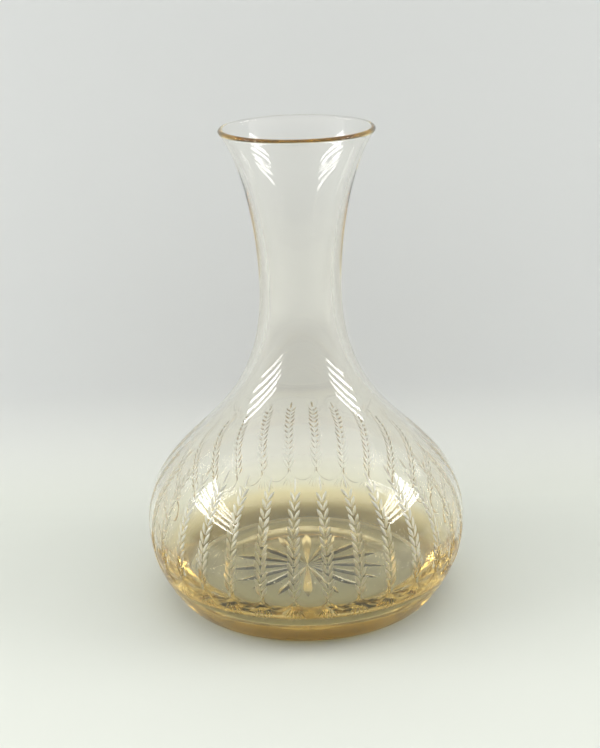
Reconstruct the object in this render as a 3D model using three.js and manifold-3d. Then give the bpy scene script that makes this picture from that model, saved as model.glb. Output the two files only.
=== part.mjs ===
// A cut glass water carafe: trumpet mouth, waisted neck, onion body, heavy heel, star-cut base.
// Millimetres, +Z up, with the origin at the middle of the ring that it stands on.
// It is one blown piece of glass, modelled as the zones that a glassmaker names.
// The zones meet face to face on level planes, and each is a turned ring open in the middle.

import * as THREE from 'three';
import { ConvexGeometry } from 'three/addons/geometries/ConvexGeometry.js';
import { mergeVertices } from 'three/addons/utils/BufferGeometryUtils.js';
import Module from 'manifold-3d';

// Heights, stacked from the table up.
const BELLY_HEIGHT = 35.3;      // the widest circle, above the table
const SHOULDER_RISE = 113.4;    // from the widest circle to the waist of the neck
const MOUTH_RISE = 71.3;        // from the waist to the top of the lip

// Outside radii.
const BASE_RADIUS = 59.5;       // edge of the flat foot
const BELLY_RADIUS = 74.25;
const WAIST_RADIUS = 18.5;
const MOUTH_RADIUS = 34.5;      // outermost edge of the lip

// How far the outside runs straight before it bends, at each end of its three curves.
const HEEL_RISE = 16.2;
const BELLY_DROP = 4.7;
const BELLY_FULLNESS = 47;
const NECK_SWEEP = 70.5;
const NECK_REACH = 25.5;
const MOUTH_REACH = 16;
const MOUTH_ANGLE = THREE.MathUtils.degToRad(53);   // slope of the wall at the lip
const HEEL_ROUND = 3;           // softened edge between foot and wall

// Thickness of the glass.
const BELLY_WALL = 2.4;
const WAIST_WALL = 4.4;         // the glass gathers in the neck
const LIP_RADIUS = 1.2;         // round, fire-polished lip
const FLOOR_HEIGHT = 10.5;      // level where the inside wall leaves the floor
const FLOOR_CROWN = 2;          // the floor rises in the middle, over the hollow below
const FLOOR_RADIUS = 46;

// How far the inside runs straight before it bends.
const FLOOR_REACH = 18;
const BORE_DROP = 10;
const BORE_FULLNESS = 45;
const BORE_SWEEP = 68;
const BORE_REACH = 20;

// Foot: a flat ring round a shallow hollow, with a star of mitre cuts.
const HOLLOW_RADIUS = 48;
const HOLLOW_DEPTH = 4;
const STAR_RADIUS = 37;
const STAR_RAYS = 16;
const STAR_DEPTH = 1.5;
const STAR_FULL = 0.72;  // where a ray is deepest, as a share of its length
const MITRE_ANGLE = THREE.MathUtils.degToRad(110);  // edge of the cutting wheel

// Where one zone passes into the next.
const BELLY_TOP = 27;           // above the widest circle
const NECK_FOOT = 53;           // below the waist
const MOUTH_DEPTH = 24;         // below the top of the lip

// Fineness of the curves.
const SIDES = 64;
const STEP = 7.5;
const RAY_STEPS = 6;

const WAIST_HEIGHT = BELLY_HEIGHT + SHOULDER_RISE;
const HEIGHT = WAIST_HEIGHT + MOUTH_RISE;
const BELLY_BORE = BELLY_RADIUS - BELLY_WALL;
const WAIST_BORE = WAIST_RADIUS - WAIST_WALL;

const wasm = await Module();
wasm.setup();

const at = (radius, height) => new THREE.Vector2(radius, height);
const bend = (a, b, c, d) => new THREE.CubicBezierCurve(a, b, c, d);

// The lip is a round bead whose wall leaves it along the slope of the mouth.
const lipCentre = at(MOUTH_RADIUS - LIP_RADIUS, HEIGHT - LIP_RADIUS);
const mouthSlope = at(Math.cos(MOUTH_ANGLE), Math.sin(MOUTH_ANGLE));
const acrossWall = at(Math.sin(MOUTH_ANGLE), -Math.cos(MOUTH_ANGLE));
const lipOutside = lipCentre.clone().addScaledVector(acrossWall, LIP_RADIUS);
const lipInside = lipCentre.clone().addScaledVector(acrossWall, -LIP_RADIUS);

const outside = [
  bend(at(BASE_RADIUS, 0), at(BELLY_RADIUS, HEEL_RISE),
    at(BELLY_RADIUS, BELLY_HEIGHT - BELLY_DROP), at(BELLY_RADIUS, BELLY_HEIGHT)),
  bend(at(BELLY_RADIUS, BELLY_HEIGHT), at(BELLY_RADIUS, BELLY_HEIGHT + BELLY_FULLNESS),
    at(WAIST_RADIUS, WAIST_HEIGHT - NECK_SWEEP), at(WAIST_RADIUS, WAIST_HEIGHT)),
  bend(at(WAIST_RADIUS, WAIST_HEIGHT), at(WAIST_RADIUS, WAIST_HEIGHT + NECK_REACH),
    lipOutside.clone().addScaledVector(mouthSlope, -MOUTH_REACH), lipOutside),
];

const inside = [
  bend(at(FLOOR_RADIUS, FLOOR_HEIGHT), at(FLOOR_RADIUS + FLOOR_REACH, FLOOR_HEIGHT),
    at(BELLY_BORE, BELLY_HEIGHT - BORE_DROP), at(BELLY_BORE, BELLY_HEIGHT)),
  bend(at(BELLY_BORE, BELLY_HEIGHT), at(BELLY_BORE, BELLY_HEIGHT + BORE_FULLNESS),
    at(WAIST_BORE, WAIST_HEIGHT - BORE_SWEEP), at(WAIST_BORE, WAIST_HEIGHT)),
  bend(at(WAIST_BORE, WAIST_HEIGHT), at(WAIST_BORE, WAIST_HEIGHT + BORE_REACH),
    lipInside.clone().addScaledVector(mouthSlope, -MOUTH_REACH), lipInside),
];

// The point of a chain of rising curves at one height.
function pointAt(curves, height) {
  const curve = curves.find((c) => height <= c.v3.y) ?? curves[curves.length - 1];
  let low = 0;
  let high = 1;
  for (let i = 0; i < 40; i++) {
    const middle = (low + high) / 2;
    if (curve.getPoint(middle).y < height) low = middle;
    else high = middle;
  }
  return at(curve.getPoint(high).x, height);
}

// The points of a chain of rising curves from one height to another.
function stretch(curves, low, high) {
  const clear = STEP / 20;
  const points = [pointAt(curves, low)];
  for (const curve of curves) {
    const count = Math.ceil(curve.getLength() / STEP);
    for (const point of curve.getPoints(count).slice(1)) {
      if (point.y > low + clear && point.y < high - clear) points.push(point);
    }
  }
  points.push(pointAt(curves, high));
  return points;
}

// A closed solid from a geometry: welded, without the empty triangles on the axis.
function solidOf(geometry) {
  const bare = new THREE.BufferGeometry();
  bare.setAttribute('position', geometry.getAttribute('position'));
  bare.setIndex(geometry.getIndex());
  const welded = mergeVertices(bare, 1e-3);
  const corners = welded.getIndex().array;
  const triangles = [];
  for (let i = 0; i < corners.length; i += 3) {
    const [a, b, c] = corners.slice(i, i + 3);
    if (a !== b && b !== c && c !== a) triangles.push(a, b, c);
  }
  return new wasm.Manifold(new wasm.Mesh({
    numProp: 3,
    vertProperties: Float32Array.from(welded.getAttribute('position').array),
    triVerts: Uint32Array.from(triangles),
  }));
}

// A turned solid. Its outline runs round the section with the glass on its left.
function turned(outline) {
  const lathe = new THREE.LatheGeometry(outline, SIDES);
  lathe.rotateX(Math.PI / 2);
  return solidOf(lathe);
}

// A ring of wall between two heights.
function wallBetween(low, high) {
  const outer = stretch(outside, low, high);
  const inner = stretch(inside, low, high).reverse();
  return turned([...outer, ...inner, outer[0]]);
}

const hollowHeight = (radius) => HOLLOW_DEPTH * (1 - (radius / HOLLOW_RADIUS) ** 2);
const floorHeight = (radius) => FLOOR_HEIGHT + FLOOR_CROWN * (1 - (radius / FLOOR_RADIUS) ** 2);

// Points of a shallow dome, from the axis to its edge.
function dome(heightAt, edge) {
  const count = Math.ceil(edge / (2 * STEP));
  const points = [];
  for (let i = 0; i <= count; i++) {
    const radius = (edge * i) / count;
    points.push(at(radius, heightAt(radius)));
  }
  return points;
}

// How much of its depth a ray has at a part of its length: a point at the middle, a short run out at the tip.
function rayFullness(part) {
  if (part < STAR_FULL) {
    return Math.sin((Math.PI / 2) * (part / STAR_FULL));
  }
  return Math.cos((Math.PI / 2) * ((part - STAR_FULL) / (1 - STAR_FULL)));
}

// One ray of the star: the path of a mitred wheel.
function starRay(angle) {
  const below = 1;
  const flare = Math.tan(MITRE_ANGLE / 2);
  const points = [];
  for (let i = 0; i <= RAY_STEPS; i++) {
    const along = (STAR_RADIUS * i) / RAY_STEPS;
    const keel = hollowHeight(along) + STAR_DEPTH * rayFullness(i / RAY_STEPS);
    const spread = (keel + below) * flare;
    points.push(new THREE.Vector3(along, 0, keel));
    points.push(new THREE.Vector3(along, spread, -below));
    points.push(new THREE.Vector3(along, -spread, -below));
  }
  const ray = new ConvexGeometry(points);
  ray.rotateZ(angle);
  return solidOf(ray);
}

function starCutBase() {
  const heelStart = at(BASE_RADIUS - HEEL_ROUND, 0);
  const heelEnd = pointAt(outside, HEEL_ROUND * 0.75);
  const heel = new THREE.QuadraticBezierCurve(heelStart, at(BASE_RADIUS, 0), heelEnd);
  const outline = [
    ...dome(hollowHeight, HOLLOW_RADIUS),
    ...heel.getPoints(3),
    ...stretch(outside, heelEnd.y, FLOOR_HEIGHT).slice(1),
    ...dome(floorHeight, FLOOR_RADIUS).reverse(),
  ];
  let base = turned(outline);
  for (let i = 0; i < STAR_RAYS; i++) {
    base = base.subtract(starRay((2 * Math.PI * i) / STAR_RAYS));
  }
  return base;
}

// The flared mouth, closed over the top by the round lip.
function flaredMouth(low) {
  const outer = stretch(outside, low, lipOutside.y);
  const inner = stretch(inside, low, lipInside.y).reverse();
  const lip = [];
  const steps = 6;
  for (let i = 1; i < steps; i++) {
    const turn = MOUTH_ANGLE - Math.PI / 2 + (Math.PI * i) / steps;
    lip.push(at(lipCentre.x + LIP_RADIUS * Math.cos(turn), lipCentre.y + LIP_RADIUS * Math.sin(turn)));
  }
  return turned([...outer, ...lip, ...inner, outer[0]]);
}

const shoulderFoot = BELLY_HEIGHT + BELLY_TOP;
const neckFoot = WAIST_HEIGHT - NECK_FOOT;
const mouthFoot = HEIGHT - MOUTH_DEPTH;

const glass = { color: 0xe9e3cd, roughness: 0.04, metalness: 0 };

function meshOf(name, solid) {
  const { numProp, vertProperties, triVerts } = solid.getMesh();
  const geometry = new THREE.BufferGeometry();
  geometry.setAttribute('position', new THREE.BufferAttribute(vertProperties, numProp));
  geometry.setIndex(new THREE.BufferAttribute(triVerts, 1));
  geometry.computeVertexNormals();
  const mesh = new THREE.Mesh(geometry, new THREE.MeshStandardMaterial(glass));
  mesh.name = name;
  return mesh;
}

const carafe = new THREE.Group();
carafe.add(meshOf('star_cut_base', starCutBase()));
carafe.add(meshOf('heel', wallBetween(FLOOR_HEIGHT, BELLY_HEIGHT)));
carafe.add(meshOf('belly', wallBetween(BELLY_HEIGHT, shoulderFoot)));
carafe.add(meshOf('shoulder', wallBetween(shoulderFoot, neckFoot)));
carafe.add(meshOf('neck_root', wallBetween(neckFoot, WAIST_HEIGHT)));
carafe.add(meshOf('neck', wallBetween(WAIST_HEIGHT, mouthFoot)));
carafe.add(meshOf('mouth', flaredMouth(mouthFoot)));

export default carafe;
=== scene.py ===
"""A cut glass water carafe, in metres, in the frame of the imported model.

The glass is one seamless turned blank. Scallops, leaf sprigs, fans and a star are cut into it by wheels.
"""

import math

import bpy
import numpy as np
from mathutils import Matrix, Vector
from mathutils.bvhtree import BVHTree
from mathutils.interpolate import poly_3d_calc


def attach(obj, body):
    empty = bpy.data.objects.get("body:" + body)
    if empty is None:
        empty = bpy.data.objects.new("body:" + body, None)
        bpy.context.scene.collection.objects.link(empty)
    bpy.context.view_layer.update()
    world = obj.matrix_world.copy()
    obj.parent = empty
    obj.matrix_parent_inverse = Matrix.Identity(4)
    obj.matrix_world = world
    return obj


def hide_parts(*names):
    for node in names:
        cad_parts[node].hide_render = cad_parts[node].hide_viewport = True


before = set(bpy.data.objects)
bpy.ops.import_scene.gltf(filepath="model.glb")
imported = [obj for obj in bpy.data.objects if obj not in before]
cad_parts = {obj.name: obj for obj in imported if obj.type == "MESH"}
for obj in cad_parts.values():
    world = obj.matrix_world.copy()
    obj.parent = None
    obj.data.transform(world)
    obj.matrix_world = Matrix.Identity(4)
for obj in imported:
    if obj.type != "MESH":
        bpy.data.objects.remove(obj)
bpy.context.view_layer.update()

MM = 0.001

# Outline of the glass, the same sizes as the solids
BELLY_HEIGHT = 35.3 * MM
SHOULDER_RISE = 113.4 * MM
MOUTH_RISE = 71.3 * MM
BASE_RADIUS = 59.5 * MM
BELLY_RADIUS = 74.25 * MM
WAIST_RADIUS = 18.5 * MM
MOUTH_RADIUS = 34.5 * MM
HEEL_RISE = 16.2 * MM
BELLY_DROP = 4.7 * MM
BELLY_FULLNESS = 47 * MM
NECK_SWEEP = 70.5 * MM
NECK_REACH = 25.5 * MM
MOUTH_REACH = 16 * MM
MOUTH_ANGLE = math.radians(53)
HEEL_ROUND = 3 * MM
BELLY_WALL = 2.4 * MM
WAIST_WALL = 4.4 * MM
LIP_RADIUS = 1.2 * MM
FLOOR_HEIGHT = 10.5 * MM
FLOOR_CROWN = 2 * MM
FLOOR_RADIUS = 46 * MM
FLOOR_REACH = 18 * MM
BORE_DROP = 10 * MM
BORE_FULLNESS = 45 * MM
BORE_SWEEP = 68 * MM
BORE_REACH = 20 * MM
HOLLOW_RADIUS = 48 * MM
HOLLOW_DEPTH = 4 * MM
WAIST_HEIGHT = BELLY_HEIGHT + SHOULDER_RISE
HEIGHT = WAIST_HEIGHT + MOUTH_RISE
BELLY_BORE = BELLY_RADIUS - BELLY_WALL
WAIST_BORE = WAIST_RADIUS - WAIST_WALL
LIP_EASE = 0.01 * MM

# Star under the foot
STAR_RADIUS = 37 * MM
STAR_RAYS = 16
STAR_DEPTH = 1.5 * MM
STAR_FULL = 0.72
STAR_START = 0.6 * MM
MITRE_FLARE = math.tan(math.radians(110) / 2)

# How far a wheel's path stands clear of the glass, and how rough it leaves its cut, 1 being the roughest
WHEEL_CLEAR = 0.15 * MM
STAR_CLEAR = 1 * MM
SCALLOP_CLEAR = 1.5 * MM
GROUND_CUT = 1
STAR_CUT = 0.5
SCALLOP_CUT = 0.02

# Leaf sprigs round the body
SPRIGS = 32
SPRIG_TURN = math.radians(-4.7)
LEAF_ROWS = 12
LEAF_PITCH = 3.9 * MM
LEAF_LENGTH = 7 * MM
LEAF_WIDTH = 1.8 * MM
LEAF_DEPTH = 0.42 * MM
LEAF_LEAN = math.radians(24)
SPRIG_FOOT = 31.5 * MM
LEAF_SHRINK = (0.4, 1.0, 1.0, 0.82)
LEAF_SIZES = (0.93, 1.07)
LEAN_SLIP = (-0.06, 0.06)
PITCH_SLIP = (-0.06, 0.06)
AWN_PLACES = (0.62, 0.76)
AWN_LENGTH = 8 * MM
AWN_WIDTH = 1 * MM
AWN_DEPTH = 0.3 * MM

# Fans of fine lines under the sprigs
FAN_LINES = 5
FAN_SPREAD = math.radians(14)
FAN_TOP = 26.5 * MM
FAN_GAP = 2.6 * MM
FAN_LENGTH = 8 * MM
FAN_WIDTH = 0.5 * MM
FAN_DEPTH = 0.16 * MM
FAN_SPLAY_SLIP = (-0.12, 0.12)
FAN_REACHES = (0.9, 1.1)
LINE_FOOT = 8 * MM
SEED = 4

# Scallops round the heel, between the sprigs
SCALLOP_TOP = 36 * MM
SCALLOP_LOW = 21.5 * MM
SCALLOP_CUSP = 26.5 * MM
SCALLOP_WIDTH = 14.1 * MM
SCALLOP_DEPTH = 0.38 * MM
SCALLOP_EASE = 0.004
SCALLOP_CUSP_SHARE = 0.92
SCALLOP_RUNOUT = 0.4 * MM

# Fineness of the turned blank
SIDES = SPRIGS * 5
FINE_STEP = 2 * MM

# Camera, worked out from the outline, the rim and the foot in a frame 600 by 748 pixels
FRAME_HEIGHT = 748
FOCAL_PIXELS = 1477.1
CAMERA_PLACE = (-1.2 * MM, -643.4 * MM, 325.4 * MM)
CAMERA_PITCH = math.radians(18.82)
CAMERA_ROLL = math.radians(1.45)

# Glass: colours, and the heights on the outer heel where each starts and is full
STRAW_STOPS = [(0.0, (0.99, 0.95, 0.74)), (0.09, (0.99, 0.965, 0.83)), (0.17, (0.995, 0.985, 0.95)),
               (0.35, (1, 0.998, 0.98)), (0.6, (1, 1, 1))]
HONEY_COLOUR = (1, 0.87, 0.52)
HONEY_TOP = 23 * MM
HONEY_FULL = 15 * MM
AMBER_COLOUR = (0.28, 0.19, 0.04)
AMBER_TOP = 16 * MM
AMBER_FULL = 5 * MM
# STAR_SHADE is the colour of painted shade on the star flanks that look away from the front
STAR_SHADE = (0.02, 0.018, 0.008)
STAR_SHADE_LEVEL = 0.3
STAR_SHADE_SLOPE = 0.4
WEAR_TOP = 1.1 * MM
WEAR_FULL = 0.7 * MM
WEAR_EDGE = 0.5 * MM
GLASS_IOR = 1.52
GROUND_ROUGHNESS = 0.3
GRIT_SCALE = 1600
GRIT_LOW = 0.7
GRIT_HIGH = 1.3
RIPPLE_SCALE = 40
RIPPLE_HEIGHT = 0.03 * MM
TINT_COLOUR = (0.78, 0.60, 0.0)
TINT_DENSITY = 11

# Floor and wall
FLOOR_REACH_OUT = 2
FLOOR_LEVEL = -0.3 * MM
SWEEP_LEVEL = -0.29 * MM
SWEEP_LEAD = 20 * MM
WALL_HALF = 0.8
WALL_HEIGHT = 1.4
WALL_BEHIND = 148 * MM
WALL_COVE = 50 * MM
FLOOR_COLOUR = (0.67, 0.695, 0.64)
WALL_COLOUR = (0.78, 0.795, 0.805)

# Bars of light at each side, and the room
BARS = 4
BAR_OUT = 1.0
BAR_ASIDE = 0.12
BAR_LOW = 0.46
BAR_STEP = 0.1
BAR_AIM = 0.08
BAR_LENGTH = 1.2
BAR_THICKNESS = 0.03
BAR_WATTS = 1.6
ROOM_COLOUR = (1, 0.99, 0.97)
ROOM_BY_HEIGHT = (-0.2, 0.9, 0.5, 1.75)
ROOM_BY_DEPTH = (-0.9, 0.2, 0.35, 1.1)
BOUNCES = 64


# Outline

def bend(a, b, c, d):
    """Points of a cubic curve, about one fine step apart."""
    a, b, c, d = (np.array(p, float) for p in (a, b, c, d))
    rough = np.linalg.norm(b - a) + np.linalg.norm(c - b) + np.linalg.norm(d - c)
    t = np.linspace(0, 1, max(4, int(rough / FINE_STEP)))[:, None]
    return a * (1 - t) ** 3 + 3 * b * t * (1 - t) ** 2 + 3 * c * t * t * (1 - t) + d * t ** 3


def dome(rise, edge, level, steps):
    """Points of a shallow dome, from the axis to its edge."""
    radius = np.linspace(0, edge, steps)
    return np.stack([radius, level + rise * (1 - (radius / edge) ** 2)], 1)


def outside_curves():
    slope = np.array([math.cos(MOUTH_ANGLE), math.sin(MOUTH_ANGLE)])
    across = np.array([slope[1], -slope[0]])
    lip = np.array([MOUTH_RADIUS - LIP_RADIUS, HEIGHT - LIP_RADIUS])
    end = lip + across * LIP_RADIUS
    return [
        bend((BASE_RADIUS, 0), (BELLY_RADIUS, HEEL_RISE),
             (BELLY_RADIUS, BELLY_HEIGHT - BELLY_DROP), (BELLY_RADIUS, BELLY_HEIGHT)),
        bend((BELLY_RADIUS, BELLY_HEIGHT), (BELLY_RADIUS, BELLY_HEIGHT + BELLY_FULLNESS),
             (WAIST_RADIUS, WAIST_HEIGHT - NECK_SWEEP), (WAIST_RADIUS, WAIST_HEIGHT)),
        bend((WAIST_RADIUS, WAIST_HEIGHT), (WAIST_RADIUS, WAIST_HEIGHT + NECK_REACH),
             end - slope * MOUTH_REACH, end),
    ]


def inside_curves():
    slope = np.array([math.cos(MOUTH_ANGLE), math.sin(MOUTH_ANGLE)])
    across = np.array([slope[1], -slope[0]])
    lip = np.array([MOUTH_RADIUS - LIP_RADIUS, HEIGHT - LIP_RADIUS])
    end = lip - across * LIP_RADIUS
    return [
        bend((FLOOR_RADIUS, FLOOR_HEIGHT), (FLOOR_RADIUS + FLOOR_REACH, FLOOR_HEIGHT),
             (BELLY_BORE, BELLY_HEIGHT - BORE_DROP), (BELLY_BORE, BELLY_HEIGHT)),
        bend((BELLY_BORE, BELLY_HEIGHT), (BELLY_BORE, BELLY_HEIGHT + BORE_FULLNESS),
             (WAIST_BORE, WAIST_HEIGHT - BORE_SWEEP), (WAIST_BORE, WAIST_HEIGHT)),
        bend((WAIST_BORE, WAIST_HEIGHT), (WAIST_BORE, WAIST_HEIGHT + BORE_REACH),
             end - slope * MOUTH_REACH, end),
    ]


def joined(curves):
    """One run of points from curves that follow on."""
    return np.concatenate([curves[0]] + [c[1:] for c in curves[1:]])


def glass_outline():
    """The whole section, from the axis under the foot round to the axis on the floor."""
    outside = joined(outside_curves())
    inside = joined(inside_curves())
    foot = dome(HOLLOW_DEPTH, HOLLOW_RADIUS, 0, 22)
    heel_end = outside[np.argmax(outside[:, 1] > HEEL_ROUND * 0.75)]
    heel_start = np.array([BASE_RADIUS - HEEL_ROUND, 0])
    corner = np.array([BASE_RADIUS, 0])
    t = np.linspace(0, 1, 7)[:, None]
    heel = heel_start * (1 - t) ** 2 + 2 * corner * t * (1 - t) + heel_end * t * t
    ring = np.linspace(foot[-1], heel_start, 6)[1:-1]
    above = outside[outside[:, 1] > heel_end[1] + 1e-7]
    turn = MOUTH_ANGLE - math.pi / 2 + math.pi * np.arange(1, 10) / 10
    lip = np.stack([MOUTH_RADIUS - LIP_RADIUS + LIP_RADIUS * np.cos(turn),
                    HEIGHT - LIP_RADIUS + (LIP_RADIUS - LIP_EASE) * np.sin(turn)], 1)
    floor = dome(FLOOR_CROWN, FLOOR_RADIUS, FLOOR_HEIGHT, 20)[::-1]
    return np.concatenate([foot, ring, heel, above, lip, inside[::-1], floor[1:]])


def outline_normals(points):
    """Outward normals along the section, in radius and height."""
    along = np.gradient(points, axis=0)
    normal = np.stack([along[:, 1], -along[:, 0]], 1)
    normal[0] = (0, -1)
    normal[-1] = (0, 1)
    return normal / np.linalg.norm(normal, axis=1)[:, None]


# Meshes

def object_from(name, vertices, faces):
    mesh = bpy.data.meshes.new(name)
    mesh.from_pydata([tuple(v) for v in vertices], [], faces)
    mesh.update()
    piece = bpy.data.objects.new(name, mesh)
    bpy.context.scene.collection.objects.link(piece)
    return piece


def turned_blank(outline):
    """The uncut glass, turned from its section."""
    angles = 2 * math.pi * np.arange(SIDES) / SIDES
    rings = outline[1:-1]
    vertices = [(0, 0, outline[0][1])]
    for radius, height in rings:
        vertices += [(radius * math.cos(a), radius * math.sin(a), height) for a in angles]
    vertices.append((0, 0, outline[-1][1]))
    last = len(vertices) - 1
    faces = []
    for i in range(SIDES):
        j = (i + 1) % SIDES
        faces.append((0, 1 + j, 1 + i))
        for k in range(len(rings) - 1):
            low, high = 1 + k * SIDES, 1 + (k + 1) * SIDES
            faces.append((low + i, low + j, high + j, high + i))
        top = 1 + (len(rings) - 1) * SIDES
        faces.append((top + i, top + j, last))
    return object_from("carafe_glass", vertices, faces)


def wheel_path(name, keel, flare, over):
    """The solid that a mitred wheel takes out: a keel of (along, depth) points under a wider top."""
    vertices = []
    for along, depth in keel:
        spread = (depth + over) * flare
        vertices += [(0, along, -depth), (spread, along, over), (-spread, along, over)]
    faces = [(0, 1, 2)]
    for i in range(len(keel) - 1):
        a, b = 3 * i, 3 * i + 3
        faces += [(a, b, b + 1, a + 1), (a + 1, b + 1, b + 2, a + 2), (a + 2, b + 2, b, a)]
    end = 3 * (len(keel) - 1)
    faces.append((end, end + 2, end + 1))
    return object_from(name, vertices, faces)


def marked(piece, value, painted_shade=0):
    """Writes how rough a wheel leaves its cut on every face of its path, and how much painted shade those faces
    take.
    """
    for name, amount in (("cut", value), ("painted_shade", painted_shade)):
        mark = piece.data.attributes.new(name, "FLOAT", "FACE")
        mark.data.foreach_set("value", np.full(len(piece.data.polygons), amount))
    return piece


def leaf_wheel():
    """A leaf cut, centred on its middle, with its tip along +Y and the glass below."""
    t = np.linspace(0, 1, 7)
    keel = np.stack([LEAF_LENGTH * (t - 0.5), LEAF_DEPTH * np.sin(math.pi * t) ** 0.8], 1)
    return marked(wheel_path("leaf_wheel", keel, LEAF_WIDTH / 2 / LEAF_DEPTH, WHEEL_CLEAR), GROUND_CUT)


def fine_wheel(name, length, width, depth):
    """A fine line, centred on its middle, along Y."""
    t = np.linspace(0, 1, 7)
    keel = np.stack([length * (t - 0.5), depth * np.sin(math.pi * t) ** 0.5], 1)
    return marked(wheel_path(name, keel, width / 2 / depth, WHEEL_CLEAR), GROUND_CUT)


def star_wheel():
    """A ray of the star, along +X from the middle of the foot, with the glass above."""
    along = np.linspace(STAR_START, STAR_RADIUS, 14)
    part = along / STAR_RADIUS
    hollow = HOLLOW_DEPTH * (1 - (along / HOLLOW_RADIUS) ** 2)
    rise = np.where(part < STAR_FULL, np.sin(math.pi / 2 * part / STAR_FULL),
                    np.cos(math.pi / 2 * (part - STAR_FULL) / (1 - STAR_FULL)))
    keel = np.stack([along, hollow + STAR_DEPTH * rise], 1)
    ray = wheel_path("star_wheel", keel, MITRE_FLARE, STAR_CLEAR)
    ray.data.transform(Matrix.Rotation(math.pi, 4, (1, 1, 0)))
    # Every ray face takes full painted shade here; set_normals keeps it on the flanks that look away from the
    # front
    return marked(ray, STAR_CUT, 1)


def scallop_wheel():
    """A scoop between two sprigs, in place on the +X side: soft at its top, with a round lower lip."""
    outside = joined(outside_curves())
    rows, columns = 12, 11
    inner, outer = [], []
    for part in np.linspace(-0.06, 1.1, rows):
        for across in np.linspace(-1, 1, columns):
            low = SCALLOP_LOW + (SCALLOP_CUSP - SCALLOP_LOW) * across ** 2
            height = low + (SCALLOP_TOP - low) * part
            radius = np.interp(height, outside[:, 1], outside[:, 0])
            fade = (1 - part) * abs(1 - part) * (1 - SCALLOP_CUSP_SHARE * across ** 2)
            depth = -SCALLOP_RUNOUT if part < 0 else SCALLOP_DEPTH * (fade - SCALLOP_EASE)
            turn = across * SCALLOP_WIDTH / 2 / BELLY_RADIUS
            for ring, inset in ((inner, depth), (outer, -SCALLOP_CLEAR)):
                ring.append(((radius - inset) * math.cos(turn), (radius - inset) * math.sin(turn), height))
    count = rows * columns
    faces = []
    for i in range(rows - 1):
        for j in range(columns - 1):
            a, b = i * columns + j, (i + 1) * columns + j
            faces.append((a, b, b + 1, a + 1))
            faces.append((count + a, count + a + 1, count + b + 1, count + b))
    edge = (list(range(columns - 1)) + [i * columns + columns - 1 for i in range(rows - 1)]
            + [(rows - 1) * columns + j for j in range(columns - 1, 0, -1)]
            + [i * columns for i in range(rows - 1, 0, -1)])
    for a, b in zip(edge, edge[1:] + edge[:1]):
        faces.append((a, b, count + b, count + a))
    scoop = marked(object_from("scallop_wheel", inner + outer, faces), SCALLOP_CUT)
    scoop.data.polygons.foreach_set("use_smooth", np.ones(len(faces), bool))
    return scoop


def meridian():
    """The part of the outside that the sprigs and fans follow, in radius and height."""
    outside = joined(outside_curves())
    return outside[(outside[:, 1] > LINE_FOOT) & (outside[:, 1] < WAIST_HEIGHT)]


def sprig_line():
    """That meridian as a curve in the XZ plane."""
    part = meridian()
    curve = bpy.data.curves.new("sprig_line", "CURVE")
    curve.dimensions = "3D"
    spline = curve.splines.new("POLY")
    spline.points.add(len(part) - 1)
    for point, (radius, height) in zip(spline.points, part):
        point.co = (radius, 0, height, 1)
    piece = bpy.data.objects.new("sprig_line", curve)
    bpy.context.scene.collection.objects.link(piece)
    return piece


def along_line(height):
    """Distance along that meridian to a height."""
    part = meridian()
    run = np.concatenate([[0], np.cumsum(np.linalg.norm(np.diff(part, axis=0), axis=1))])
    return float(np.interp(height, part[:, 1], run))


# Nodes

class Nodes:
    """A node tree that is built one node at a time."""

    def __init__(self, tree):
        self.tree = tree

    def link(self, value, socket):
        self.tree.links.new(value, socket)

    def add(self, kind, links=None, **settings):
        node = self.tree.nodes.new(kind)
        for key, value in settings.items():
            setattr(node, key, value)
        for key, value in (links or {}).items():
            if isinstance(value, bpy.types.NodeSocket):
                self.link(value, node.inputs[key])
            else:
                node.inputs[key].default_value = value
        return node

    def math(self, operation, *values, **settings):
        return self.add("ShaderNodeMath", dict(enumerate(values)), operation=operation, **settings).outputs[0]

    def vector(self, operation, *values):
        return self.add("ShaderNodeVectorMath", dict(enumerate(values)), operation=operation).outputs[0]

    def ramp(self, value, low, high, start=0.0, end=1.0, kind="LINEAR"):
        limits = {"From Min": low, "From Max": high, "To Min": start, "To Max": end}
        return self.add("ShaderNodeMapRange", {"Value": value, **limits}, interpolation_type=kind).outputs[0]

    def mixed(self, factor, colour, other):
        return self.add("ShaderNodeMix", {"Factor": factor, "A": colour, "B": (*other, 1)},
                        data_type="RGBA").outputs["Result"]

    def attribute(self, name):
        return self.add("ShaderNodeAttribute", attribute_name=name).outputs["Fac"]

    def noise(self, place, scale, detail):
        values = {"Vector": place, "Scale": scale, "Detail": detail}
        return self.add("ShaderNodeTexNoise", values).outputs["Fac"]


class Tree(Nodes):
    """A geometry node tree with named inputs."""

    def __init__(self, name, inputs):
        super().__init__(bpy.data.node_groups.new(name, "GeometryNodeTree"))
        self.tree.interface.new_socket("Geometry", in_out="OUTPUT", socket_type="NodeSocketGeometry")
        self.identifier = {}
        for label, kind in inputs:
            socket = self.tree.interface.new_socket(label, in_out="INPUT", socket_type=kind)
            self.identifier[label] = socket.identifier
        self.input = self.tree.nodes.new("NodeGroupInput").outputs
        self.output = self.tree.nodes.new("NodeGroupOutput").inputs


def placed_on_line(tree, line, along, turn):
    """Place, upward direction and facing of a spot on a meridian turned about the axis."""
    sample = tree.add("GeometryNodeSampleCurve", {"Curves": line, "Length": along}, mode="LENGTH")
    place, upward, sideways = (
        tree.add("ShaderNodeVectorRotate", {"Vector": v, "Angle": turn}, rotation_type="Z_AXIS").outputs[0]
        for v in (sample.outputs["Position"], sample.outputs["Tangent"], (0, 1, 0)))
    normal = tree.vector("CROSS_PRODUCT", sideways, upward)
    facing = tree.add("FunctionNodeAxesToRotation", {"Primary Axis": normal, "Secondary Axis": upward},
                      primary_axis="Z", secondary_axis="Y").outputs[0]
    return place, facing


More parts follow.
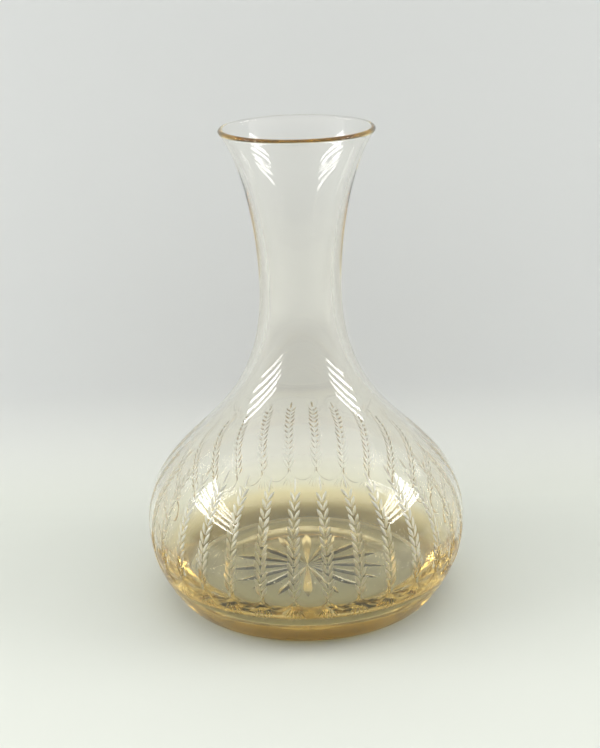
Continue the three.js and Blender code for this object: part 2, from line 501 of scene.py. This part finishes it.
def carafe_cuts_tree():
    """Cuts scallops round the heel, leaf sprigs and fans along meridians, and a star under the foot."""
    tree = Tree("carafe_cuts", [
        ("Geometry", "NodeSocketGeometry"), ("Leaf", "NodeSocketObject"), ("Awn", "NodeSocketObject"),
        ("Scallop", "NodeSocketObject"), ("Fan Line", "NodeSocketObject"), ("Fan Lines", "NodeSocketInt"),
        ("Fan Top", "NodeSocketFloat"), ("Fan Reach", "NodeSocketFloat"), ("Fan Spread", "NodeSocketFloat"),
        ("Sprig Start", "NodeSocketFloat"),
        ("Star Ray", "NodeSocketObject"), ("Sprig Line", "NodeSocketObject"),
        ("Sprigs", "NodeSocketInt"), ("Leaf Rows", "NodeSocketInt"), ("Leaf Pitch", "NodeSocketFloat"),
        ("Leaf Length", "NodeSocketFloat"), ("Leaf Lean", "NodeSocketFloat"), ("Awn Length", "NodeSocketFloat"),
        ("Sprig Turn", "NodeSocketFloat"), ("Star Rays", "NodeSocketInt"), ("Seed", "NodeSocketInt"),
        ("Glass", "NodeSocketMaterial")])
    given = tree.input

    def shape(label):
        return tree.add("GeometryNodeObjectInfo", {"Object": given[label]}).outputs["Geometry"]

    def slip(low, high, offset):
        seed = tree.math("ADD", given["Seed"], float(offset))
        return tree.add("FunctionNodeRandomValue", {2: low, 3: high, "ID": index, "Seed": seed},
                        data_type="FLOAT").outputs[1]

    line = shape("Sprig Line")
    index = tree.add("GeometryNodeInputIndex").outputs[0]
    step = tree.math("DIVIDE", 2 * math.pi, given["Sprigs"])
    fine_cuts = tree.add("GeometryNodeJoinGeometry")
    leaf_cuts = []

    half_rows = tree.math("FLOOR", tree.math("DIVIDE", given["Leaf Rows"], 2.0))
    leaf_count = tree.math("MULTIPLY", given["Sprigs"], half_rows)
    leaf_points = tree.add("GeometryNodePoints", {"Count": leaf_count}).outputs[0]
    pair = tree.math("MULTIPLY", tree.math("MODULO", index, half_rows), 2.0)
    sprig = tree.math("FLOOR", tree.math("DIVIDE", index, half_rows))
    last_row = tree.math("SUBTRACT", given["Leaf Rows"], 1.0)
    for side, odd, offset in ((1, 0, 0), (-1, 0, 500), (1, 1, 900), (-1, 1, 1400)):
        row = tree.math("ADD", pair, float(odd))
        up = tree.math("DIVIDE", row, last_row)
        shrink = tree.ramp(up, *LEAF_SHRINK)
        size = tree.math("MULTIPLY", shrink, slip(*LEAF_SIZES, offset))
        lean = tree.math("ADD", given["Leaf Lean"], slip(*LEAN_SLIP, offset + 7))
        slipped = tree.math("ADD", row, slip(*PITCH_SLIP, offset + 13))
        along = tree.math("MULTIPLY", slipped, given["Leaf Pitch"])
        along = tree.math("ADD", along, given["Sprig Start"])
        aside = tree.math("MULTIPLY", tree.math("MULTIPLY", given["Leaf Length"], size),
                          tree.math("MULTIPLY", tree.math("SINE", lean), 0.5))
        sample = tree.add("GeometryNodeSampleCurve", {"Curves": line, "Length": along}, mode="LENGTH")
        radius = tree.add("ShaderNodeSeparateXYZ", {0: sample.outputs["Position"]}).outputs["X"]
        turn = tree.math("ADD", tree.math("MULTIPLY", sprig, step), given["Sprig Turn"])
        turn = tree.math("ADD", turn, tree.math("MULTIPLY", tree.math("DIVIDE", aside, radius), float(side)))
        place, facing = placed_on_line(tree, line, along, turn)
        tilt = tree.add("FunctionNodeAxisAngleToRotation", {
            "Axis": (0, 0, 1), "Angle": tree.math("MULTIPLY", lean, -float(side))}).outputs[0]
        facing = tree.add("FunctionNodeRotateRotation", {"Rotation": facing, "Rotate By": tilt},
                          rotation_space="LOCAL").outputs[0]
        placed = tree.add("GeometryNodeSetPosition", {"Geometry": leaf_points, "Position": place}).outputs[0]
        leaves = tree.add("GeometryNodeInstanceOnPoints", {
            "Points": placed, "Instance": shape("Leaf"), "Rotation": facing, "Scale": size}).outputs[0]
        leaf_cuts.append(leaves)

    awn_points = tree.add("GeometryNodePoints", {"Count": given["Sprigs"]}).outputs[0]
    along = tree.math("ADD", tree.math("MULTIPLY", last_row, given["Leaf Pitch"]),
                      tree.math("MULTIPLY", given["Awn Length"], slip(*AWN_PLACES, 31)))
    along = tree.math("ADD", along, given["Sprig Start"])
    turn = tree.math("ADD", tree.math("MULTIPLY", index, step), given["Sprig Turn"])
    place, facing = placed_on_line(tree, line, along, turn)
    placed = tree.add("GeometryNodeSetPosition", {"Geometry": awn_points, "Position": place}).outputs[0]
    awns = tree.add("GeometryNodeInstanceOnPoints", {
        "Points": placed, "Instance": shape("Awn"), "Rotation": facing}).outputs[0]
    tree.link(awns, fine_cuts.inputs[0])

    fan_count = tree.math("MULTIPLY", given["Sprigs"], given["Fan Lines"])
    fan_points = tree.add("GeometryNodePoints", {"Count": fan_count}).outputs[0]
    half = tree.math("MULTIPLY", tree.math("SUBTRACT", given["Fan Lines"], 1.0), 0.5)
    splay = tree.math("SUBTRACT", tree.math("MODULO", index, given["Fan Lines"]), half)
    splay = tree.math("MULTIPLY", tree.math("ADD", splay, slip(*FAN_SPLAY_SLIP, 47)), given["Fan Spread"])
    reach = tree.math("MULTIPLY", given["Fan Reach"], slip(*FAN_REACHES, 53))
    along = tree.math("SUBTRACT", given["Fan Top"], tree.math("MULTIPLY", tree.math("COSINE", splay), reach))
    sample = tree.add("GeometryNodeSampleCurve", {"Curves": line, "Length": along}, mode="LENGTH")
    radius = tree.add("ShaderNodeSeparateXYZ", {0: sample.outputs["Position"]}).outputs["X"]
    fan = tree.math("FLOOR", tree.math("DIVIDE", index, given["Fan Lines"]))
    fan_turn = tree.math("ADD", tree.math("MULTIPLY", fan, step), given["Sprig Turn"])
    aside = tree.math("MULTIPLY", tree.math("SINE", splay), reach)
    fan_turn = tree.math("ADD", fan_turn, tree.math("DIVIDE", aside, radius))
    place, facing = placed_on_line(tree, line, along, fan_turn)
    tilt = tree.add("FunctionNodeAxisAngleToRotation", {"Axis": (0, 0, 1), "Angle": splay}).outputs[0]
    facing = tree.add("FunctionNodeRotateRotation", {"Rotation": facing, "Rotate By": tilt},
                      rotation_space="LOCAL").outputs[0]
    placed = tree.add("GeometryNodeSetPosition", {"Geometry": fan_points, "Position": place}).outputs[0]
    fans = tree.add("GeometryNodeInstanceOnPoints", {
        "Points": placed, "Instance": shape("Fan Line"), "Rotation": facing}).outputs[0]
    tree.link(fans, fine_cuts.inputs[0])

    ray_turn = tree.math("MULTIPLY", index, tree.math("DIVIDE", 2 * math.pi, given["Star Rays"]))
    points = tree.add("GeometryNodePoints", {"Count": given["Star Rays"]}).outputs[0]
    around = tree.add("FunctionNodeAxisAngleToRotation", {"Axis": (0, 0, 1), "Angle": ray_turn}).outputs[0]
    rays = tree.add("GeometryNodeInstanceOnPoints", {
        "Points": points, "Instance": shape("Star Ray"), "Rotation": around}).outputs[0]
    tree.link(rays, fine_cuts.inputs[0])

    scoop_turn = tree.math("ADD", turn, tree.math("MULTIPLY", step, 0.5))
    points = tree.add("GeometryNodePoints", {"Count": given["Sprigs"]}).outputs[0]
    around = tree.add("FunctionNodeAxisAngleToRotation", {"Axis": (0, 0, 1), "Angle": scoop_turn}).outputs[0]
    scoops = tree.add("GeometryNodeInstanceOnPoints", {
        "Points": points, "Instance": shape("Scallop"), "Rotation": around}).outputs[0]

    glass = given["Geometry"]
    for wheels in (scoops, *leaf_cuts, fine_cuts.outputs[0]):
        solid = tree.add("GeometryNodeRealizeInstances", {"Geometry": wheels}).outputs[0]
        glass = tree.add("GeometryNodeMeshBoolean", {"Mesh 1": glass, "Mesh 2": solid},
                         operation="DIFFERENCE", solver="MANIFOLD").outputs["Mesh"]
    realized = tree.add("GeometryNodeRealizeInstances", {"Geometry": glass}).outputs[0]
    dressed = tree.add("GeometryNodeSetMaterial", {"Geometry": realized, "Material": given["Glass"]}).outputs[0]
    tree.link(dressed, tree.output[0])
    return tree


def run_tree(piece, tree, values):
    """Applies a tree to a piece, as a plain mesh."""
    modifier = piece.modifiers.new(tree.tree.name, "NODES")
    modifier.node_group = tree.tree
    for label, value in values.items():
        modifier[tree.identifier[label]] = value
    graph = bpy.context.evaluated_depsgraph_get()
    graph.update()
    mesh = bpy.data.meshes.new_from_object(piece.evaluated_get(graph))
    piece.modifiers.remove(modifier)
    piece.data = mesh


# Materials

def glass_colour(paint, place):
    """Straw by height, honey and amber on the outer heel, and painted shade on the star flanks; also where the
    foot is worn.
    """
    height = paint.add("ShaderNodeSeparateXYZ", {0: place}).outputs["Z"]
    level = paint.vector("MULTIPLY", place, (1, 1, 0))
    outward = paint.add("ShaderNodeVectorMath", {0: level}, operation="LENGTH").outputs["Value"]
    straw = paint.add("ShaderNodeValToRGB", {"Fac": paint.ramp(height, 0.0, HEIGHT)})
    stops = straw.color_ramp.elements
    stops.remove(stops[0])
    for i, (at, colour) in enumerate(STRAW_STOPS):
        stop = stops[0] if i == 0 else stops.new(at)
        stop.position, stop.color = at, (*colour, 1)
    start = BASE_RADIUS - HEEL_ROUND
    ring = paint.ramp(outward, start, BASE_RADIUS - HEEL_ROUND / 2, kind="SMOOTHSTEP")
    honey = paint.math("MULTIPLY", ring, paint.ramp(height, HONEY_TOP, HONEY_FULL, kind="SMOOTHSTEP"))
    amber = paint.math("MULTIPLY", ring, paint.ramp(height, AMBER_TOP, AMBER_FULL, kind="SMOOTHSTEP"))
    worn = paint.math("MULTIPLY", paint.ramp(height, WEAR_TOP, WEAR_FULL, kind="SMOOTHSTEP"),
                      paint.ramp(outward, start, start + WEAR_EDGE))
    # Painted shade: star flanks that look away from the front are mixed toward STAR_SHADE
    colour = paint.mixed(paint.attribute("painted_shade"), straw.outputs["Color"], STAR_SHADE)
    colour = paint.mixed(honey, colour, HONEY_COLOUR)
    unworn = paint.math("SUBTRACT", amber, worn, use_clamp=True)
    return paint.mixed(unworn, colour, AMBER_COLOUR), worn


def glass_material():
    """Blown glass with a straw tint that deepens where it is thick, and ground cuts."""
    material = bpy.data.materials.new("straw_glass")
    material.use_nodes = True
    paint = Nodes(material.node_tree)
    shader = paint.tree.nodes["Principled BSDF"]
    shader.inputs["Transmission Weight"].default_value = 1
    shader.inputs["IOR"].default_value = GLASS_IOR
    place = paint.add("ShaderNodeTexCoord").outputs["Object"]
    colour, worn = glass_colour(paint, place)
    paint.link(colour, shader.inputs["Base Color"])
    ground = paint.math("MAXIMUM", paint.attribute("cut"), worn)
    grit = paint.ramp(paint.noise(place, GRIT_SCALE, 3), 0.0, 1.0, GRIT_LOW, GRIT_HIGH)
    rough = paint.ramp(paint.math("MULTIPLY", ground, grit), 0.0, 1.0, 0.0, GROUND_ROUGHNESS)
    paint.link(rough, shader.inputs["Roughness"])
    wave = paint.noise(place, RIPPLE_SCALE, 1)
    ripple = paint.add("ShaderNodeBump", {"Height": wave, "Strength": 1, "Distance": RIPPLE_HEIGHT})
    paint.link(ripple.outputs[0], shader.inputs["Normal"])
    tint = paint.add("ShaderNodeVolumeAbsorption", {"Color": (*TINT_COLOUR, 1), "Density": TINT_DENSITY})
    paint.link(tint.outputs[0], paint.tree.nodes["Material Output"].inputs["Volume"])
    return material


def plain_material(name, colour, rough):
    material = bpy.data.materials.new(name)
    material.use_nodes = True
    shader = material.node_tree.nodes["Principled BSDF"]
    shader.inputs["Base Color"].default_value = (*colour, 1)
    shader.inputs["Roughness"].default_value = rough
    return material


# Stage, lights and camera

def wall_paint():
    """The floor's colour at the foot of the sweep, turning into the wall's, and clear from behind."""
    material = plain_material("pale_wall", WALL_COLOUR, 0.7)
    paint = Nodes(material.node_tree)
    shader = paint.tree.nodes["Principled BSDF"]
    place = paint.add("ShaderNodeTexCoord").outputs["Object"]
    height = paint.add("ShaderNodeSeparateXYZ", {0: place}).outputs["Z"]
    colour = paint.mixed(paint.ramp(height, 0.0, WALL_COVE), (*FLOOR_COLOUR, 1), WALL_COLOUR)
    paint.link(colour, shader.inputs["Base Color"])
    behind = paint.add("ShaderNodeNewGeometry").outputs["Backfacing"]
    seen = paint.add("ShaderNodeLightPath").outputs["Is Camera Ray"]
    clear = paint.add("ShaderNodeBsdfTransparent").outputs[0]
    mix = paint.add("ShaderNodeMixShader", {"Fac": paint.math("MULTIPLY", behind, seen),
                                            1: shader.outputs[0], 2: clear})
    paint.link(mix.outputs[0], paint.tree.nodes["Material Output"].inputs["Surface"])
    return material


def backdrop():
    """A floor, and a wall that sweeps up from it behind the carafe."""
    reach = FLOOR_REACH_OUT
    corners = [(-reach, -reach), (reach, -reach), (reach, reach), (-reach, reach)]
    floor = object_from("floor", [(*corner, FLOOR_LEVEL) for corner in corners], [(0, 1, 2, 3)])
    floor.data.materials.append(plain_material("pale_floor", FLOOR_COLOUR, 0.6))
    turn = np.linspace(0, math.pi / 2, 13)
    start = WALL_BEHIND - WALL_COVE
    sweep = np.stack([start + WALL_COVE * np.sin(turn), WALL_COVE * (1 - np.cos(turn)) + SWEEP_LEVEL], 1)
    sweep = np.concatenate([[(start - SWEEP_LEAD, SWEEP_LEVEL)], sweep, [(WALL_BEHIND, WALL_HEIGHT)]])
    sides = [(side, y, z) for y, z in sweep for side in (-WALL_HALF, WALL_HALF)]
    strips = [(2 * i, 2 * i + 1, 2 * i + 3, 2 * i + 2) for i in range(len(sweep) - 1)]
    wall = object_from("wall", sides, strips)
    wall.data.polygons.foreach_set("use_smooth", np.ones(len(strips), bool))
    wall.data.materials.append(wall_paint())


def bar_of_light(name, place, aim):
    light = bpy.data.lights.new(name, "AREA")
    light.shape = "RECTANGLE"
    light.size, light.size_y, light.energy = BAR_LENGTH, BAR_THICKNESS, BAR_WATTS
    piece = bpy.data.objects.new(name, light)
    bpy.context.scene.collection.objects.link(piece)
    piece.location = place
    piece.rotation_euler = (Vector(aim) - Vector(place)).to_track_quat("-Z", "Y").to_euler()


def lights():
    """Bars like window blinds at each side, in a room that is brighter above and behind."""
    for name, side in (("left", -1), ("right", 1)):
        middle = side * BAR_ASIDE
        for bar in range(BARS):
            place = (side * BAR_OUT, middle, BAR_LOW + BAR_STEP * bar)
            bar_of_light(f"{name}_bar_{bar}", place, (0, middle, BAR_AIM))
    world = bpy.data.worlds.new("room")
    world.use_nodes = True
    room = Nodes(world.node_tree)
    background = room.tree.nodes["Background"]
    toward = room.add("ShaderNodeTexCoord").outputs["Generated"]
    part = room.add("ShaderNodeSeparateXYZ", {0: toward}).outputs
    level = room.math("MULTIPLY", room.ramp(part["Z"], *ROOM_BY_HEIGHT), room.ramp(part["Y"], *ROOM_BY_DEPTH))
    room.link(level, background.inputs["Strength"])
    background.inputs["Color"].default_value = (*ROOM_COLOUR, 1)
    bpy.context.scene.world = world


def camera():
    data = bpy.data.cameras.new("camera")
    data.lens = FOCAL_PIXELS * data.sensor_width / FRAME_HEIGHT
    piece = bpy.data.objects.new("camera", data)
    bpy.context.scene.collection.objects.link(piece)
    tilt = Matrix.Rotation(math.pi / 2 - CAMERA_PITCH, 4, "X") @ Matrix.Rotation(-CAMERA_ROLL, 4, "Z")
    piece.matrix_world = Matrix.Translation(CAMERA_PLACE) @ tilt
    bpy.context.scene.camera = piece


# The carafe

def scallop_normals(scoop, spots):
    """Normals of the wheel's surface at the nearest scallop, for spots on the glass."""
    tree = BVHTree.FromObject(scoop, bpy.context.evaluated_depsgraph_get())
    mesh = scoop.data
    step = 2 * math.pi / SPRIGS
    start = SPRIG_TURN - math.pi / 2 + step / 2
    normals = []
    for spot in spots:
        turn = start + step * round((math.atan2(spot[1], spot[0]) - start) / step)
        back = Matrix.Rotation(turn, 3, "Z")
        near, _, face, _ = tree.find_nearest(back.transposed() @ Vector(spot))
        corners = [mesh.vertices[v] for v in mesh.polygons[face].vertices]
        weights = poly_3d_calc([c.co for c in corners], near)
        normal = sum((c.normal * w for c, w in zip(corners, weights)), Vector())
        normals.append(-(back @ normal).normalized())
    return np.array(normals)


def set_normals(piece, outline, scoop):
    """Smooth normals of the turned surface and the scallops, and flat ones on the other cuts.

    The star's painted shade is kept on the flanks that look away from the front, so those flanks are painted
    darker.
    """
    mesh = piece.data
    section = outline_normals(outline)
    count = len(mesh.vertices)
    spots = np.empty(count * 3)
    mesh.vertices.foreach_get("co", spots)
    spots = spots.reshape(-1, 3)
    flat = np.stack([np.hypot(spots[:, 0], spots[:, 1]), spots[:, 2]], 1)
    fine = np.linspace(0, len(outline) - 1, (len(outline) - 1) * 6 + 1)
    steps = np.arange(len(outline))
    fine_points = np.stack([np.interp(fine, steps, outline[:, i]) for i in (0, 1)], 1)
    fine_normals = np.stack([np.interp(fine, steps, section[:, i]) for i in (0, 1)], 1)
    nearest = np.concatenate([
        ((chunk[:, None] - fine_points[None]) ** 2).sum(2).argmin(1)
        for chunk in np.array_split(flat, max(1, count // 2000))])
    normal = fine_normals[nearest]
    azimuth = np.arctan2(spots[:, 1], spots[:, 0])
    smooth = np.stack([normal[:, 0] * np.cos(azimuth), normal[:, 0] * np.sin(azimuth), normal[:, 1]], 1)
    smooth /= np.linalg.norm(smooth, axis=1)[:, None]
    cut = np.zeros(len(mesh.polygons))
    mesh.attributes["cut"].data.foreach_get("value", cut)
    sizes = np.zeros(len(mesh.polygons), int)
    mesh.polygons.foreach_get("loop_total", sizes)
    faces = np.zeros(len(mesh.polygons) * 3)
    mesh.polygons.foreach_get("normal", faces)
    corners = np.zeros(len(mesh.loops), int)
    mesh.loops.foreach_get("vertex_index", corners)
    cut = np.repeat(cut, sizes)
    loops = np.where(cut[:, None] > 0, np.repeat(faces.reshape(-1, 3), sizes, 0), smooth[corners])
    scooped = (cut > 0) & (cut < 2 * SCALLOP_CUT)
    used, place = np.unique(corners[scooped], return_inverse=True)
    loops[scooped] = scallop_normals(scoop, spots[used])[place]
    # Painted shade on the star: strongest on flanks that look away from the front, weaker on level faces, none
    # on those facing the front
    painted_shade = np.zeros(len(mesh.polygons))
    mesh.attributes["painted_shade"].data.foreach_get("value", painted_shade)
    painted_shade *= np.clip(STAR_SHADE_LEVEL + faces.reshape(-1, 3)[:, 1] / STAR_SHADE_SLOPE, 0, 1)
    mesh.attributes["painted_shade"].data.foreach_set("value", painted_shade)
    mesh.polygons.foreach_set("use_smooth", np.ones(len(mesh.polygons), bool))
    mesh.normals_split_custom_set(loops.tolist())


def carafe():
    """The glass: turned, cut, dressed and set in place of the solids."""
    outline = glass_outline()
    glass = marked(turned_blank(outline), 0)
    wheels = {"Leaf": leaf_wheel(), "Awn": fine_wheel("awn_wheel", AWN_LENGTH, AWN_WIDTH, AWN_DEPTH),
              "Fan Line": fine_wheel("fan_wheel", FAN_LENGTH, FAN_WIDTH, FAN_DEPTH),
              "Scallop": scallop_wheel(), "Star Ray": star_wheel(), "Sprig Line": sprig_line()}
    run_tree(glass, carafe_cuts_tree(), {
        **wheels, "Sprigs": SPRIGS, "Leaf Rows": LEAF_ROWS, "Leaf Pitch": LEAF_PITCH,
        "Leaf Length": LEAF_LENGTH, "Leaf Lean": LEAF_LEAN, "Awn Length": AWN_LENGTH,
        "Fan Lines": FAN_LINES, "Fan Top": along_line(FAN_TOP), "Fan Reach": FAN_GAP + FAN_LENGTH / 2,
        "Fan Spread": FAN_SPREAD, "Sprig Start": along_line(SPRIG_FOOT),
        "Sprig Turn": SPRIG_TURN - math.pi / 2, "Star Rays": STAR_RAYS, "Seed": SEED,
        "Glass": glass_material()})
    set_normals(glass, outline, wheels["Scallop"])
    for wheel in wheels.values():
        bpy.data.objects.remove(wheel)
    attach(glass, "root")
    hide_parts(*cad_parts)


camera()
backdrop()
lights()
carafe()

scene = bpy.context.scene
scene.view_settings.view_transform = "Standard"
scene.cycles.max_bounces = BOUNCES
scene.cycles.transmission_bounces = BOUNCES
scene.cycles.glossy_bounces = BOUNCES
scene.cycles.sample_clamp_indirect = 0
